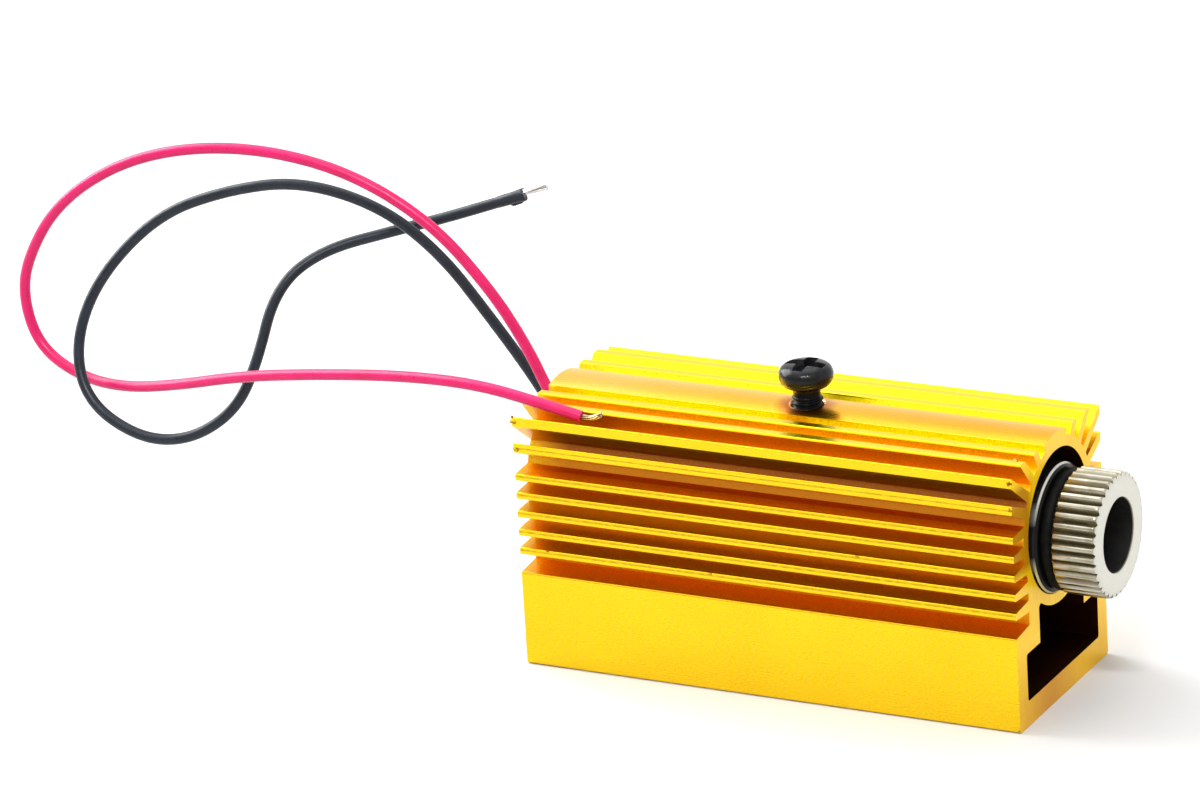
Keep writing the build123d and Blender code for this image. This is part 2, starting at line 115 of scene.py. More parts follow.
class Nodes:
    """Short calls for the nodes that the finishes and the sky share."""

    def __init__(self, tree):
        self.tree = tree

    def add(self, kind, **settings):
        """Adds a node with its settings."""
        node = self.tree.nodes.new(kind)
        for key, value in settings.items():
            setattr(node, key, value)
        return node

    def put(self, socket, value):
        """Sets a socket to a number or colour, or links another socket to it."""
        if isinstance(value, bpy.types.NodeSocket):
            self.tree.links.new(value, socket)
        else:
            socket.default_value = value

    def split(self, vector):
        """The three parts of a vector."""
        node = self.add("ShaderNodeSeparateXYZ")
        self.put(node.inputs[0], vector)
        return node.outputs["X"], node.outputs["Y"], node.outputs["Z"]

    def ramp(self, value, *stops):
        """Colours or greys along a value, as (position, colour) pairs."""
        node = self.add("ShaderNodeValToRGB")
        self.put(node.inputs["Fac"], value)
        elements = node.color_ramp.elements
        while len(elements) < len(stops):
            elements.new(0.5)
        for element, (position, colour) in zip(elements, stops):
            element.position = position
            element.color = (*colour, 1.0) if isinstance(colour, tuple) else (colour, colour, colour, 1.0)
        return node.outputs["Color"]

    def steps(self, value, *stops):
        """Like a ramp, but each colour holds as far as the next."""
        colours = self.ramp(value, *stops)
        colours.node.color_ramp.interpolation = "CONSTANT"
        return colours

    def between(self, value, low, high):
        """From 0 to 1 as a value goes from low to high."""
        node = self.add("ShaderNodeMapRange", clamp=True)
        self.put(node.inputs["Value"], value)
        node.inputs["From Min"].default_value = low
        node.inputs["From Max"].default_value = high
        return node.outputs["Result"]

    def mix(self, factor, first, second):
        """Blends two colours, which are the node's inputs 6 and 7. The blend is its output 2."""
        node = self.add("ShaderNodeMix", data_type="RGBA")
        self.put(node.inputs["Factor"], factor)
        for socket, value in ((node.inputs[6], first), (node.inputs[7], second)):
            self.put(socket, (*value, 1.0) if isinstance(value, tuple) else value)
        return node.outputs[2]

    def math(self, operation, first, *others, clamp=False):
        """Arithmetic on numbers or sockets, from the first to the last."""
        for other in others or (0.0,):
            node = self.add("ShaderNodeMath", operation=operation, use_clamp=clamp)
            self.put(node.inputs[0], first)
            self.put(node.inputs[1], other)
            first = node.outputs[0]
        return first

    def times(self, *values):
        """The product of several values. Of masks, it is 1 where all of them are."""
        return self.math("MULTIPLY", *values)

    def above(self, value, limit):
        """1 where a value is over a limit."""
        return self.math("GREATER_THAN", value, limit)

    def below(self, value, limit):
        """1 where a value is under a limit."""
        return self.math("LESS_THAN", value, limit)

    def near(self, value, target, reach):
        """1 where a value lies within reach of a target."""
        node = self.add("ShaderNodeMath", operation="COMPARE")
        for socket, part in zip(node.inputs, (value, target, reach)):
            self.put(socket, part)
        return node.outputs[0]

    def fade(self, high, low, rate=1.0):
        """From 0 up to 1 as the first value passes the second, at a rate for each millimetre."""
        return self.math("MULTIPLY", self.math("SUBTRACT", high, low), rate, clamp=True)

    def square_from(self, across, along, centre):
        """The square of the distance from an axis at 0 in one direction and at a centre in the other."""
        offset = self.math("SUBTRACT", along, centre)
        return self.math("ADD", self.times(across, across), self.times(offset, offset))


class Finish(Nodes):
    """A material, and calls that use its place on the object."""

    def __init__(self, name):
        self.material = bpy.data.materials.new(name)
        self.material.use_nodes = True
        super().__init__(self.material.node_tree)
        self.shader = self.tree.nodes["Principled BSDF"]
        self.here = self.add("ShaderNodeTexCoord").outputs["Object"]

    def set(self, **values):
        """Sets the shader's inputs by name, with underscores for spaces."""
        for key, value in values.items():
            self.put(self.shader.inputs[key.replace("_", " ")], value)

    def stretched(self, x, y, z):
        """Object coordinates in millimetres, times a factor for each axis."""
        node = self.add("ShaderNodeVectorMath", operation="MULTIPLY")
        self.put(node.inputs[0], self.here)
        node.inputs[1].default_value = (METRE * x, METRE * y, METRE * z)
        return node.outputs[0]

    def axes(self):
        """The three parts of the object coordinates, in millimetres."""
        return self.split(self.stretched(1.0, 1.0, 1.0))

    def noise(self, scale, detail=3.0, stretch=(1.0, 1.0, 1.0), roughness=0.5):
        """Noise with about scale lumps a millimetre."""
        node = self.add("ShaderNodeTexNoise")
        self.put(node.inputs["Vector"], self.stretched(*stretch))
        node.inputs["Scale"].default_value = scale
        node.inputs["Detail"].default_value = detail
        node.inputs["Roughness"].default_value = roughness
        return node.outputs["Fac"]

    def facing(self, low, high):
        """From 0 to 1 as the surface turns to face along the module's axis, either way."""
        x, _, _ = self.split(self.add("ShaderNodeTexCoord").outputs["Normal"])
        return self.between(self.math("ABSOLUTE", x), low, high)

    def bump(self, *layers):
        """Stacks bumps, each a (height, depth in millimetres) pair, on the surface."""
        normal = None
        for height, depth in layers:
            node = self.add("ShaderNodeBump")
            node.inputs["Strength"].default_value = 1.0
            node.inputs["Distance"].default_value = depth * MM
            self.put(node.inputs["Height"], height)
            if normal is not None:
                self.put(node.inputs["Normal"], normal)
            normal = node.outputs["Normal"]
        self.put(self.shader.inputs["Normal"], normal)


# The hollows of the heat sink, just past their walls: the channel's two steps as (half width, bottom, top).
CHANNEL_STEPS = ((8.03, 2.38, 6.98), (4.98, 6.9, 10.6))
BORE_REACH = BORE_RADIUS + 0.05


def inside_sink(f):
    """1 on the walls of the channel and the bore, where light only comes from the ends: the mask for the
    painted shade there.
    """
    _, y, height = f.axes()
    across = f.math("ABSOLUTE", y)
    bore = f.below(f.square_from(across, height, BORE_HEIGHT), BORE_REACH ** 2)
    return f.math("MAXIMUM", bore, *[
        f.times(f.below(across, half_width), f.above(height, bottom), f.below(height, top))
        for half_width, bottom, top in CHANNEL_STEPS
    ])


# Painted shade in the grooves, from the foot up: between the level fins, and then between the radial ones.
GROOVE_BOTTOM = FOOT_TOP - 1.0
GROOVE_SPAN = 16.0
TIP_START = FOOT_HALF_WIDTH - 0.3
LEVEL_GROOVE_SHADE = (
    (0.88, 0.365, 0.001), (0.85, 0.425, 0.001), (0.88, 0.395, 0.001),
    (0.79, 0.385, 0.001), (0.79, 0.365, 0.001), (0.91, 0.45, 0.001),
)
SLOPE_SPAN = 4.0
FAN_SLOPES = (0.4557, 0.7159, 1.1067, 1.8418)
FAN_GROOVE_SHADE = ((0.64, 0.34, 0.002), (0.935, 0.49, 0.002), (0.90, 0.60, 0.003), (0.93, 0.76, 0.003))
# Painted shade darkens the ring's wall between the lowest radial fins, and painted light brightens the
# grooves' rear ends.
RING_WALL_SHADE = ((0.67, 0.225, 0.003), (0.36, 0.09, 0.002))
WALL_REACH = 8.75
WALL_BOTTOM = 18.6
LIT_FROM = -21.0
LIT_RATE = 0.3
LIT_SHARE = 0.8
LIT_SLOPE = 0.05
REAR_END_LIGHT = (0.93, 0.50, 0.002)
# Painted light: the flat fin tops beside the land are painted a paler gold.
FIN_TOP_LIGHT = (0.93, 0.70, 0.002)
LAND_BOTTOM = 23.0


def shaded_grooves(f, colour, land):
    """Painted shade in the grooves, deeper and redder the less light gets down them, painted light at their
    rear ends and on the fin tops, and the land's colour on the land, with a mask of the grooves.
    """
    x, y, height = f.axes()
    across = f.math("ABSOLUTE", y)
    lift = f.math("SUBTRACT", height, BORE_HEIGHT)
    slope = f.times(f.math("DIVIDE", lift, f.math("MAXIMUM", across, 1.0)), 1 / SLOPE_SPAN)
    limits = [limit / SLOPE_SPAN for limit in FAN_SLOPES]
    beside_land = f.above(across, LAND_EDGE)
    groove = f.times(
        f.below(across, TIP_START), f.above(height, GROOVE_BOTTOM), beside_land, f.below(height, FIN_TOP)
    )
    share = f.math("DIVIDE", f.math("SUBTRACT", height, FOOT_TOP), GROOVE_SPAN)
    bottoms = [FOOT_TOP] + [LOWEST_FIN + step * FIN_PITCH for step in range(len(LEVEL_GROOVE_SHADE) - 1)]
    levels = [((bottom - FOOT_TOP) / GROOVE_SPAN, shade) for bottom, shade in zip(bottoms, LEVEL_GROOVE_SHADE)]
    # Painted shade: a darker, redder colour for each groove between the level fins and between the radial
    # fins.
    shade = f.mix(f.above(slope, limits[0]), f.steps(share, *levels), f.steps(slope, *zip(limits, FAN_GROOVE_SHADE)))
    walls = f.steps(slope, (0.0, RING_WALL_SHADE[0]), (limits[0], RING_WALL_SHADE[1]))
    wall = f.times(
        f.below(f.square_from(across, height, BORE_HEIGHT), WALL_REACH ** 2),
        f.below(slope, limits[1]), f.above(height, WALL_BOTTOM),
    )
    # Painted light at the grooves' rear ends.
    lit = f.times(f.fade(LIT_FROM, x, LIT_RATE), LIT_SHARE, f.above(slope, LIT_SLOPE))
    shade = f.mix(lit, f.mix(wall, shade, walls), REAR_END_LIGHT)
    # Painted light on the flat fin tops.
    tops = f.times(beside_land, f.above(height, FIN_TOP))
    on_land = f.times(f.below(across, LAND_EDGE), f.above(height, LAND_BOTTOM))
    return f.mix(on_land, f.mix(tops, f.mix(groove, colour, shade), FIN_TOP_LIGHT), land), groove


# Die lines just over the middle of each level fin's tip and along the lowest radial fin's, and a dark line
# just under the foot's top edge, the last two as (height, half width).
LINE_RISE = 0.10
LINE_HALF_WIDTH = 0.09
OTHER_LINES = ((21.48, 0.07), (FOOT_TOP - 0.13, 0.045))


def tip_lines(f):
    """A dark, broken die line along the level fins' tips and the lowest radial fin's, and a dark line just
    under the foot's top edge.
    """
    _, y, height = f.axes()
    turns = f.math("DIVIDE", f.math("SUBTRACT", height, LOWEST_FIN - FIN_PITCH / 2), FIN_PITCH)
    line = f.near(f.math("FRACT", turns), 0.5 + LINE_RISE / FIN_PITCH, LINE_HALF_WIDTH / FIN_PITCH)
    line = f.times(line, f.near(height, LOWEST_FIN + 2 * FIN_PITCH, 2.5 * FIN_PITCH))
    line = f.math("MAXIMUM", line, *[f.near(height, middle, reach) for middle, reach in OTHER_LINES])
    broken = f.ramp(f.noise(2.2, 3.0, (0.7, 1.0, 1.0)), (0.35, 0.45), (0.6, 1.0))
    return f.times(line, f.above(f.math("ABSOLUTE", y), TIP_START), broken)


# Painted round the screw's hole: a dark red-brown patch for the screw's reflection and shade on the land, and
# a bright coppery ring at the hole's edge.
SCREW_SHADE_REACH = 3.2
SCREW_SHADE_RATE = 0.8
SCREW_SHADE_COLOUR = (0.44, 0.09, 0.003)
RIM_REACH = 1.72
RIM_COPPER = (0.90, 0.48, 0.22)


def around_screw(f, colour):
    """Painted reflection and shade of the screw on the land round its hole, and a bright coppery ring at the
    hole's edge.
    """
    x, y, height = f.axes()
    reach = f.math("SQRT", f.square_from(y, x, SCREW_X))
    on_land = f.above(height, LAND_BOTTOM)
    # Painted dark reflection and shade of the screw on the land.
    near = f.times(f.fade(SCREW_SHADE_REACH, reach, SCREW_SHADE_RATE), on_land)
    rim = f.times(f.below(reach, RIM_REACH), on_land)
    return f.mix(rim, f.mix(near, colour, SCREW_SHADE_COLOUR), RIM_COPPER)


# Painted shade on the sawn ends: on the sill under the channel, and in a patch beside the bore.
SILL_TOP = 3.0
SILL_MIDDLE = -3.0
SILL_HALF_WIDTH = 7.0
SILL_SHADE = (0.62, 0.275, 0.001)
BORE_SHADE_FROM = -5.2
BORE_SHADE_BOTTOM = 14.4
BORE_SHADE_TOP = 23.6
BORE_SHADE_SHARE = 0.65
BORE_SHADE_COLOUR = (0.31, 0.06, 0.001)


def sawn_end(f, saw):
    """The sawn ends' colour, bright over the channel's floor, with painted shade: darker low down, orange on
    the sill, and brown beside the bore.
    """
    _, y, height = f.axes()
    low = f.ramp(saw, (0.3, (0.76, 0.42, 0.001)), (0.7, (0.84, 0.48, 0.001)))
    high = f.ramp(saw, (0.3, (0.88, 0.54, 0.002)), (0.7, (0.95, 0.61, 0.003)))
    # Painted shade: the ends darken toward the bottom.
    rise = f.fade(height, SILL_TOP, 0.2)
    aside = f.math("ABSOLUTE", f.math("SUBTRACT", y, SILL_MIDDLE))
    # Painted shade on the sill under the channel.
    sill = f.times(f.fade(SILL_HALF_WIDTH, aside, 0.16), f.below(height, SILL_TOP))
    # Painted shade in a patch beside the bore on the near side.
    dull = f.times(f.fade(BORE_SHADE_FROM, y, 0.7), f.fade(height, BORE_SHADE_BOTTOM), f.fade(BORE_SHADE_TOP, height))
    dye = f.mix(sill, f.mix(rise, low, high), SILL_SHADE)
    return f.mix(f.times(dull, BORE_SHADE_SHARE), dye, BORE_SHADE_COLOUR)


# More dye on the sides in die lines, streaks and flecks, and painted shade where hardly any light gets.
LINE_DYE = (0.50, 0.31, 0.001)
STREAK_DYE = (0.62, 0.33, 0.001)
FLECK_DYE = (0.46, 0.20, 0.001)
UNLIT_SHADE = (0.045, 0.010, 0.004)


def gold_anodised():
    """Clear gold anodising over an extrusion with fine die lines and sawn, etched ends."""
    f = Finish("gold_anodised")
    x, _, _ = f.axes()
    blotches = f.noise(0.12, 4.0)
    lines = f.noise(5.0, 3.0, (0.015, 1.0, 1.0), 0.6)
    grain = f.noise(6.0)
    saw = f.noise(3.0, 3.0, (0.2, 1.0, 0.12), 0.6)
    sides = f.ramp(blotches, (0.3, (0.90, 0.59, 0.002)), (0.7, (0.95, 0.64, 0.004)))
    # The land is painted paler and tanner toward the rear, with random blotches: a painted reflection of the
    # pale room behind it.
    along = f.math("DIVIDE", f.math("ADD", x, SINK_HALF_LENGTH), 2 * SINK_HALF_LENGTH)
    uneven = f.math("ADD", along, f.times(f.math("SUBTRACT", blotches, 0.5), 0.4))
    land = f.ramp(uneven, (0.1, (0.88, 0.50, 0.08)), (0.35, (0.88, 0.455, 0.02)), (0.85, (0.86, 0.38, 0.001)))
    is_end = f.facing(0.85, 0.95)
    # Painted shade on the walls of the channel and the bore, but not on the sawn ends.
    unlit = f.times(inside_sink(f), f.math("SUBTRACT", 1.0, is_end))
    # Painted shade and light in the grooves, painted light on the fin tops, and the land's painted
    # reflection.
    coloured, groove = shaded_grooves(f, f.mix(tip_lines(f), sides, LINE_DYE), land)
    streaked = f.mix(f.times(lines, 0.12), coloured, STREAK_DYE)
    flecks = f.times(f.ramp(grain, (0.45, 0.0), (0.75, 0.3)), f.math("ADD", groove, 1.0))
    speckled = f.mix(flecks, streaked, FLECK_DYE)
    outer = f.mix(is_end, around_screw(f, speckled), sawn_end(f, saw))
    rough = [f.times(lines, 0.08), 0.23, f.times(is_end, 0.26), f.times(groove, 0.12), f.times(unlit, 0.25)]
    f.set(
        Base_Color=f.mix(unlit, outer, UNLIT_SHADE),
        Metallic=f.math("SUBTRACT", 1.0, f.times(is_end, 0.5)),
        Roughness=f.math("ADD", *rough),
        Specular_IOR_Level=0.15,
        Specular_Tint=(1.0, 0.90, 0.52, 1.0),
        Coat_Weight=0.6,
        Coat_Roughness=0.2,
        Coat_IOR=1.33,
    )
    f.bump((lines, 0.0005), (grain, 0.003), (saw, 0.002))
    return f.material


def mottled(name, stains, colours, gloss, roughness, *bumps, **settings):
    """A finish of uneven colour and gloss. Noises are (scale, detail) and bumps (scale, detail, depth)."""
    f = Finish(name)
    f.set(
        Base_Color=f.ramp(f.noise(*stains), *colours),
        Roughness=f.ramp(f.noise(*gloss), *roughness),
        **settings,
    )
    f.bump(*[(f.noise(scale, detail), depth) for scale, detail, depth in bumps])
    return f.material


def torn_gold():
    """Raw burrs, brown with trapped dye."""
    return mottled(
        "torn_gold", (3.0, 3.0), [(0.35, (0.10, 0.055, 0.004)), (0.65, (0.62, 0.36, 0.02))],
        (6.0, 3.0), [(0.3, 0.3), (0.8, 0.5)], (9.0, 3.0, 0.02), Metallic=1.0,
    )


def black_steel(name, level):
    """Black oxide on steel, oiled and glossy, or duller down in the thread."""
    return mottled(
        name, (1.8, 4.0), [(0.3, (0.002, 0.002, 0.003)), (0.75, (0.007, 0.008, 0.009))],
        (4.0, 3.0), [(0.3, 0.12), (0.8, 0.24)], (6.0, 4.0, 0.012), (1.8, 4.0, 0.03),
        Specular_IOR_Level=level,
    )


def from_axis(f):
    """The distance from the module's axis, in millimetres."""
    _, y, height = f.axes()
    return f.math("SQRT", f.square_from(y, height, AXIS_HEIGHT))


TOOL_RINGS = 70.0
# Painted shade in the flutes: inside this radius, deepening at this rate for each millimetre.
FLUTE_SHADE_WITHIN = 5.74
FLUTE_SHADE_RATE = 3.4


def nickel_knob():
    """Nickel plating: bright ridges, painted shade in the flutes, and a satin front with faint tool rings,
    painted lighter than the sides.
    """
    f = Finish("nickel_knob")
    radius = from_axis(f)
    rings = f.math("SINE", f.times(radius, TOOL_RINGS))
    is_face = f.facing(0.7, 0.95)
    stains = f.ramp(f.noise(0.8, 4.0), (0.3, (0.38, 0.36, 0.28)), (0.7, (0.47, 0.45, 0.38)))
    # Painted shade down in the flutes, but not on the front face.
    flute_shade = f.times(f.fade(FLUTE_SHADE_WITHIN, radius, FLUTE_SHADE_RATE), f.math("SUBTRACT", 1.0, is_face))
    tarnish = f.ramp(f.noise(0.45), (0.48, 0.0), (0.66, 0.75))
    tarnished = f.mix(tarnish, f.mix(flute_shade, stains, (0.16, 0.14, 0.09)), (0.25, 0.23, 0.15))
    glossy = f.ramp(f.noise(3.0), (0.3, 0.16), (0.8, 0.26))
    # The front face is painted a lighter grey than the sides: painted light.
    f.set(
        Base_Color=f.mix(is_face, tarnished, (0.64, 0.63, 0.57)),
        Metallic=1.0,
        Roughness=f.math("ADD", f.times(is_face, 0.3), glossy),
    )
    f.bump((f.times(rings, is_face), 0.0010), (f.noise(9.0), 0.002))
    return f.material


# Painted shade on the barrel: its front face inside the edge painted nearly black, and a dark band across the
# edge's middle where its highlight breaks. Low down, a painted gold reflection of the heat sink.
DARK_FACE_WITHIN = 5.84
DARK_BAND_HEIGHT = 16.9
GOLD_REFLECTION_TOP = 16.0
DARK_FACE_SHADE = (0.006, 0.006, 0.006)


def nickel_barrel():
    """Nickel plating on the barrel: a bright edge round a front face painted dark, with a painted dark band
    across the edge's middle and a painted gold reflection low down.
    """
    f = Finish("nickel_barrel")
    _, _, height = f.axes()
    # Painted shade: the front face inside the edge, nearly black.
    dark_face = f.times(f.facing(0.6, 0.66), f.below(from_axis(f), DARK_FACE_WITHIN))
    stains = f.ramp(f.noise(0.8, 4.0), (0.3, (0.44, 0.42, 0.37)), (0.7, (0.56, 0.54, 0.49)))
    # Painted reflection of the gold heat sink on the lower part of the edge.
    stains = f.mix(f.fade(GOLD_REFLECTION_TOP, height, 0.5), stains, (0.60, 0.52, 0.26))
    # Painted shade: a dark band across the edge's middle.
    aside = f.math("ABSOLUTE", f.math("SUBTRACT", height, DARK_BAND_HEIGHT))
    dark_band = f.math("SUBTRACT", 1.7, f.times(aside, 0.5), clamp=True)
    f.set(
        Base_Color=f.mix(dark_face, f.mix(dark_band, stains, (0.008, 0.008, 0.008)), DARK_FACE_SHADE),
        Metallic=f.math("SUBTRACT", 1.0, f.math("MAXIMUM", dark_face, dark_band)),
        Specular_IOR_Level=0.08,
        Roughness=f.ramp(f.noise(3.0), (0.3, 0.16), (0.8, 0.28)),
    )
    f.bump((f.noise(6.0, 3.0, (1.0, 0.2, 0.2)), 0.003))
    return f.material


def blackened_brass():
    """A near-black finish inside the aperture, with little gloss."""
    return mottled(
        "blackened_brass", (1.5, 3.0), [(0.3, 0.004), (0.8, (0.012, 0.011, 0.01))],
        (5.0, 2.0), [(0.3, 0.55), (0.8, 0.75)], (12.0, 2.0, 0.01), Specular_IOR_Level=0.25,
    )


def plain_metal(name, dark, light, low, high, grain=0.004):
    """A metal with its own tint, faint stains and a fine grain."""
    return mottled(
        name, (1.2, 4.0), [(0.3, dark), (0.7, light)], (4.0, 3.0), [(0.3, low), (0.8, high)],
        (10.0, 3.0, grain), Metallic=1.0,
    )


def black_rubber():
    """Moulded rubber with a dull sheen."""
    return mottled(
        "black_rubber", (2.0, 3.0), [(0.3, 0.003), (0.8, (0.008, 0.009, 0.008))],
        (5.0, 3.0), [(0.3, 0.38), (0.8, 0.55)], (8.0, 3.0, 0.008), Specular_IOR_Level=0.04,
    )


def insulation(name, dark, light, low, high):
    """Extruded wire insulation: even colour, slight flow marks and a soft gloss."""
    return mottled(
        name, (0.5, 4.0), [(0.3, dark), (0.7, light)], (3.0, 3.0), [(0.3, low), (0.8, high)],
        (5.0, 4.0, 0.010), (0.9, 2.0, 0.04), Specular_IOR_Level=0.3,
    )


def clear_glass(name, tint, rough):
    """Glass with a faint tint and a hint of dust."""
    return mottled(
        name, (1.0, 2.0), [(0.3, tint), (0.8, tuple(0.93 * part for part in tint))],
        (6.0, 4.0), [(0.5, rough), (0.85, rough + 0.06)], (3.0, 2.0, 0.001),
        Transmission_Weight=0.95, IOR=1.52,
    )


def moulded(name, dark, light, low, high, grain):
    """Moulded resin or fired ceramic, slightly mottled and grainy."""
    return mottled(
        name, (1.5, 4.0), [(0.3, dark), (0.75, light)], (5.0, 3.0), [(0.3, low), (0.8, high)],
        (14.0, 3.0, grain),
    )


def green_board():
    """Green varnish over a woven board, with copper tracks that show through."""
    f = Finish("green_board")
    weave = f.add("ShaderNodeTexChecker")
    f.put(weave.inputs["Vector"], f.stretched(1.0, 1.0, 0.0))
    weave.inputs["Scale"].default_value = 3.2
    tracks = f.add("ShaderNodeTexBrick", offset=0.37)
    f.put(tracks.inputs["Vector"], f.stretched(0.45, 0.6, 0.0))
    tracks.inputs["Scale"].default_value = 1.0
    tracks.inputs["Mortar Size"].default_value = 0.11
    green = f.ramp(f.noise(1.4), (0.3, (0.008, 0.085, 0.025)), (0.7, (0.014, 0.125, 0.04)))
    f.set(
        Base_Color=f.mix(tracks.outputs["Fac"], green, (0.03, 0.20, 0.05)),
        Roughness=f.ramp(f.noise(4.0, 2.0), (0.3, 0.28), (0.8, 0.4)),
        Coat_Weight=0.3,
        Coat_Roughness=0.15,
    )
    f.bump((weave.outputs["Fac"], 0.006), (tracks.outputs["Fac"], 0.03))
    return f.material


def add_object(data, body, slot, *replaced):
    """Puts finished data in the scene on its body, and hides the CAD nodes that it stands for. Its slot is
    not used.
    """
    piece = linked(data)
    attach(piece, body)
    if replaced:
        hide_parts(*replaced)
    return piece


def mesh_from(name, skin, materials, face_materials=None, sharp=40.0):
    """A smooth shaded mesh from a skin in millimetres, with edges sharper than an angle kept crisp."""
    mesh = bpy.data.meshes.new(name)
    mesh.from_pydata([(x * MM, y * MM, z * MM) for x, y, z in skin.points], [], skin.faces)
    for material in materials:
        mesh.materials.append(material)
    if face_materials:
        mesh.polygons.foreach_set("material_index", face_materials)
    mesh.validate()
    mesh.shade_smooth()
    mesh.set_sharp_from_angle(angle=radians(sharp))
    return mesh


def mesh_of(name, work, *materials):
    """The mesh that a bmesh holds, smooth shaded."""
    mesh = bpy.data.meshes.new(name)
    work.to_mesh(mesh)
    work.free()
    for material in materials:
        mesh.materials.append(material)
    mesh.shade_smooth()
    mesh.set_sharp_from_angle(angle=radians(50.0))
    return mesh


class Skin:
    """Gathers rings of points and the faces between them, for lathed and threaded shapes."""

    def __init__(self):
        self.points = []
        self.faces = []
        self.finishes = []

    def rings(self, rows, finish=0, closed=False):
        """Bridges rings of equal count. Each ring runs the same way round."""
        count = len(rows[0])
        start = len(self.points)
        for row in rows:
            self.points.extend(row)
        spans = len(rows) if closed else len(rows) - 1
        for index in range(spans):
            here = start + index * count
            there = start + (index + 1) % len(rows) * count
            for step in range(count):
                after = (step + 1) % count
                self.faces.append((here + step, here + after, there + after, there + step))
                self.finishes.append(finish)

    def lathe(self, profile, count, finish=0, closed=False):
        """Spins (x, radius) pairs about the module's axis."""
        self.rings([ring_at(x, radius, count) for x, radius in profile], finish, closed)

    def close(self, count, last_too=True):
        """Closes the first ring with a flat face, and the last one too."""
        self.faces.append(tuple(reversed(range(count))))
        if last_too:
            self.faces.append(tuple(range(len(self.points) - count, len(self.points))))


def turned(radius, count):
    """The angle and the radius at each of a ring's points. Radius may be a function of the angle."""
    angles = [tau * step / count for step in range(count)]
    return [(angle, radius(angle) if callable(radius) else radius) for angle in angles]


def ring_at(x, radius, count):
    """A ring about the module's axis."""
    return [
        (x, reach * cos(angle), AXIS_HEIGHT + reach * sin(angle))
        for angle, reach in turned(radius, count)
    ]


def thread_depth_at(turns):
    """From 0 at a thread's crest to 1 at its root, with rounded crests and roots."""
    return 0.5 - 0.5 * cos(tau * turns)


# Focus ring: knurled knob and threaded neck.
KNOB_REAR = 26.6
KNOB_FRONT = 30.87
KNOB_RADIUS = 5.8
KNOB_ROUND = 0.36
KNOB_CHAMFER = 0.25
KNOB_POINTS = 96
FIRST_STATION = 0.05
STATION_GAP = 0.4
ROUND_STEPS = 15
FLUTES = 36
FLUTE_DEPTH = 0.46
FLUTE_HALF_WIDTH = 0.36
FLUTE_EASE = 0.05
FLUTE_BOTTOM = KNOB_RADIUS - FLUTE_DEPTH
FLUTE_STATIONS = (0.0, 0.04, 0.12, 0.2, 0.27, 0.33, 0.39, 0.45)
INSIDE_FLUTES = FLUTE_BOTTOM - 0.02
FACE_RADIUS = 4.6
APERTURE_RADIUS = 3.43
APERTURE_BEVEL = 0.12
LIP_FRONT = 27.6
LIP_RADIUS = 2.6
EDGE_BREAK = 0.1
LENS_FRONT = 26.8
POCKET_RADIUS = 3.35
NECK_RADIUS = 4.45
NECK_REAR = 18.6
NECK_BREAK = 0.2
NECK_GROOVE = 25.3
NECK_STEPS = 134
NECK_POINTS = 72
THREAD_PITCH = 0.5
THREAD_DEPTH = 0.22


def knob_radius_at(x):
    """The knob's radius between the flutes: a chamfer behind and a round in front."""
    behind = KNOB_RADIUS - max(0.0, KNOB_CHAMFER - (x - KNOB_REAR))
    into_round = max(0.0, x - (KNOB_FRONT - KNOB_ROUND))
    drop = KNOB_ROUND - sqrt(max(0.0, KNOB_ROUND ** 2 - into_round ** 2))
    return min(behind, KNOB_RADIUS - drop)


def flute_radius_at(offset):
    """The knob's radius at a distance round from the nearest flute's middle, eased at the lips."""
    wall = FLUTE_BOTTOM + FLUTE_DEPTH * offset / FLUTE_HALF_WIDTH
    gap = wall - KNOB_RADIUS
    if gap < -FLUTE_EASE:
        return wall
    if gap > FLUTE_EASE:
        return KNOB_RADIUS
    return KNOB_RADIUS - (FLUTE_EASE - gap) ** 2 / (4 * FLUTE_EASE)


def knurled_ring(x):
    """One ring of points round the knob, close together where the flutes are."""
    pitch = tau / FLUTES
    offsets = [-offset for offset in reversed(FLUTE_STATIONS[1:])] + list(FLUTE_STATIONS)
    ring = []
    for flute in range(FLUTES):
        for offset in offsets:
            angle = flute * pitch + offset / KNOB_RADIUS
            reach = min(knob_radius_at(x), flute_radius_at(abs(offset)))
            ring.append((x, reach * cos(angle), AXIS_HEIGHT + reach * sin(angle)))
    return ring


def rounded(ring):
    """A ring drawn in to a circle just inside the flutes, where the knob's flat ends start."""
    drawn = []
    for x, y, z in ring:
        share = INSIDE_FLUTES / hypot(y, z - AXIS_HEIGHT)
        drawn.append((x, y * share, AXIS_HEIGHT + (z - AXIS_HEIGHT) * share))
    return drawn


def neck_radius_at(x, angle):
    """The neck's radius along its thread, which runs out at both ends."""
    fade = min(1.0, (x - NECK_REAR) / THREAD_PITCH, (NECK_GROOVE - x) / THREAD_PITCH)
    depth = thread_depth_at(x / THREAD_PITCH - angle / tau)
    return NECK_RADIUS - THREAD_DEPTH * (1 - fade * (1 - depth))


